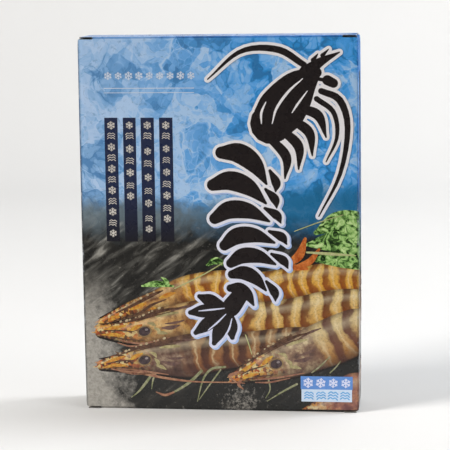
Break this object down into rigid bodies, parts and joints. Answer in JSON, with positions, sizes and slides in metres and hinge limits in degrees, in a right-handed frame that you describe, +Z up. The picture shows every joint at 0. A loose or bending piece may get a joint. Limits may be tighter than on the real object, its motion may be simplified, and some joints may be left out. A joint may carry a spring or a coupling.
{
  "type": "shut paperboard carton for frozen prawns",
  "caption": "Flat upright folding carton for frozen prawns, shut, with a tuck-in flap at top and base, softly swollen panels and rounded folds.",
  "frame": {"origin": "on the floor under the middle of the shut carton", "axes": "+Z up, from the base to the lid; the big front panel faces -Y; +X to the right as seen from the front"},
  "size_m": [0.1854, 0.038, 0.25],
  "materials": {
    "printed_board": "satin varnish over print"
  },
  "bodies": {
    "root": {"carton": "printed_board"}
  },
  "joints": []
}
